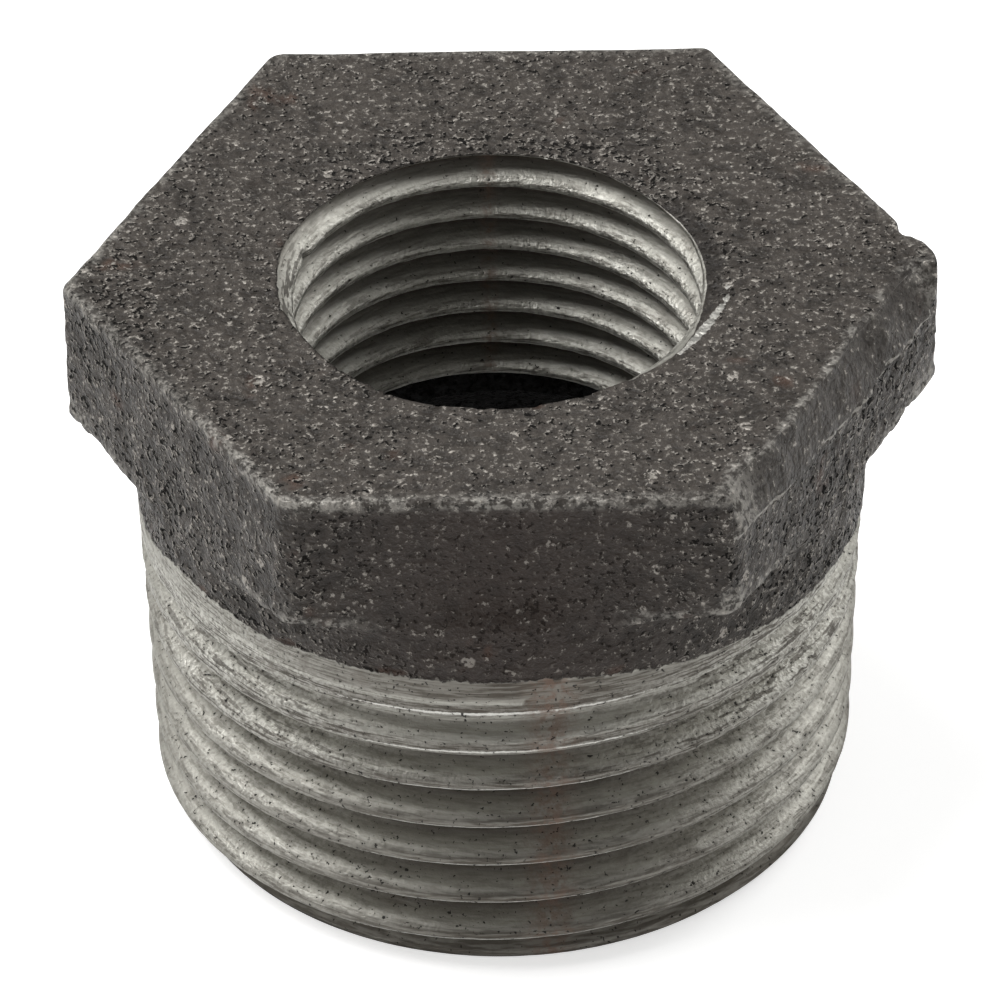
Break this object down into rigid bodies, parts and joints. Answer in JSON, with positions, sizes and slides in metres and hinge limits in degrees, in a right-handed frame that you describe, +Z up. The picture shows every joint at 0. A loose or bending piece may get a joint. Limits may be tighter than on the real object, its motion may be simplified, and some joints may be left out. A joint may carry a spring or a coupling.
{
  "type": "hexagon reducing bushing",
  "caption": "Cast iron hexagon-headed pipe bushing, with a taper male thread outside and a smaller female thread through its head.",
  "frame": {"origin": "centre of the small end's face, on the axis that the two threads share", "axes": "+Z up the thread axis from the male end to the hexagon head, and one flat of the head faces -Y"},
  "size_m": [0.0402, 0.0351, 0.0276],
  "materials": {
    "cast_iron": "rough as-cast skin on the head and neck, bright turned metal on both threads"
  },
  "bodies": {
    "root": {"reducer_bushing": "cast_iron"}
  },
  "joints": []
}
